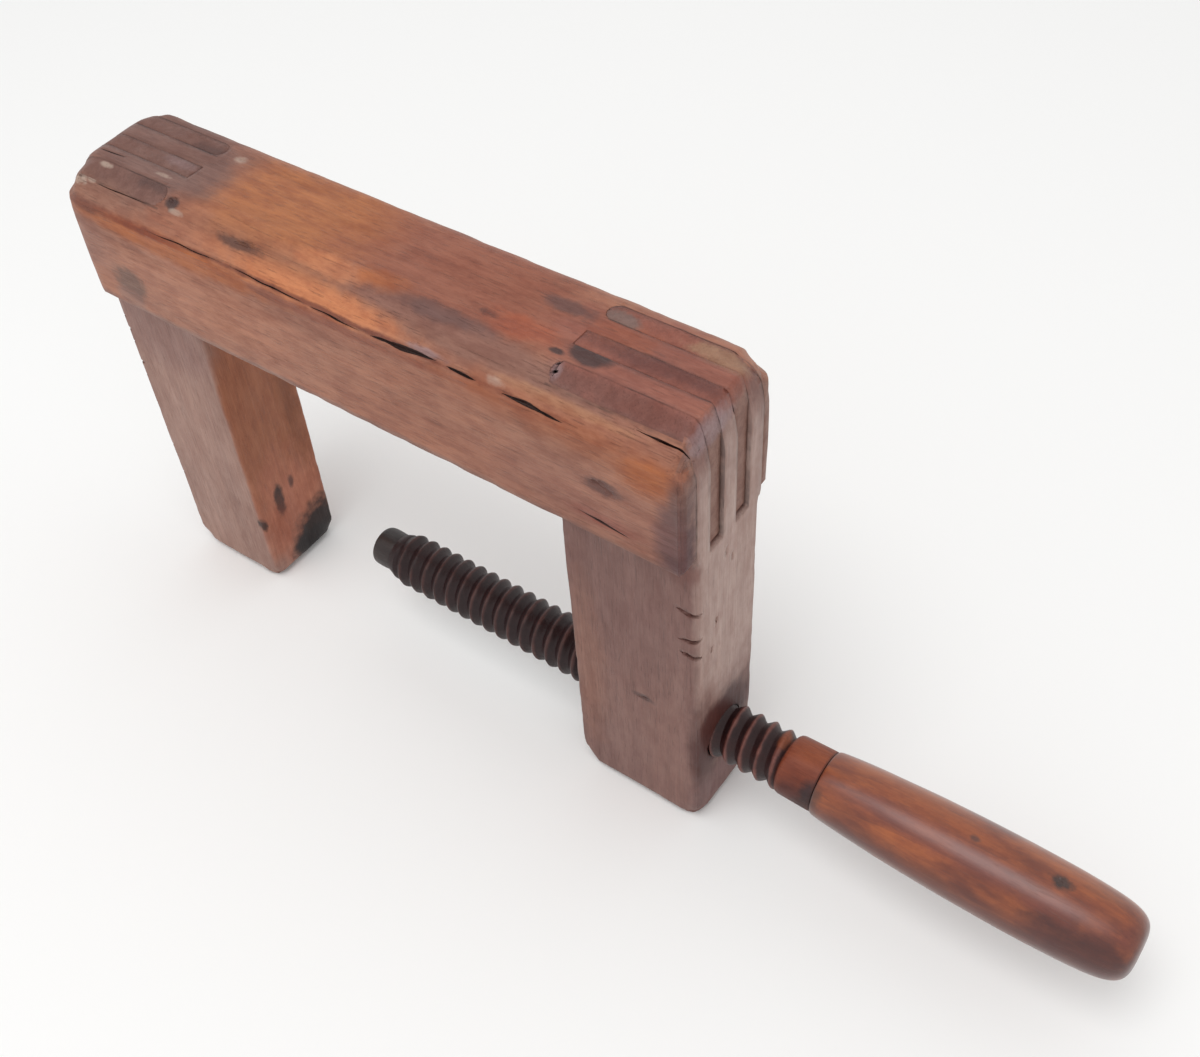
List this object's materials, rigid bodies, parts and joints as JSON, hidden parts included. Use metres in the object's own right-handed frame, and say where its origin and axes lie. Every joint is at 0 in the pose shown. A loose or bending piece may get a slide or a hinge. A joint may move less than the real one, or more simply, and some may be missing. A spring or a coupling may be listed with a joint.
{
  "type": "wooden screw clamp",
  "caption": "Wooden bench clamp: a beam with two comb-jointed jaws, and a coarse wooden screw with a turned handle that closes on the work.",
  "frame": {"origin": "on the surface that the jaws' ends stand on, under the middle of the overall length and width", "axes": "+X from the fixed jaw towards the handle, +Y across the frame, +Z from the jaws' ends up to the beam"},
  "size_m": [0.569, 0.07, 0.269],
  "materials": {
    "beam_wood": "worn, hand-polished",
    "jaw_wood": "worn, matt",
    "screw_wood": "dark, burnished by use",
    "nose_wood": "blackened end grain",
    "handle_wood": "varnished, glossy"
  },
  "bodies": {
    "frame": {"beam": "beam_wood", "fixed_jaw": "jaw_wood", "threaded_jaw": "jaw_wood"},
    "nose": {"screw_nose": "nose_wood"},
    "screw": {"screw": "screw_wood", "handle": "handle_wood"}
  },
  "joints": [
    {"name": "screw_travel", "type": "slide", "parent": "frame", "child": "nose", "axis": [-1, 0, 0], "range_m": [-0.1455, 0.0305]},
    {"name": "screw_turn", "type": "hinge", "parent": "nose", "child": "screw", "pos_m": [0, 0, 0.053], "axis": [-1, 0, 0], "range_deg": [-6289, 1301]}
  ],
  "couplings": [
    {"joint": "screw_travel", "follows": "screw_turn", "m_per_rad": 0.001321}
  ]
}
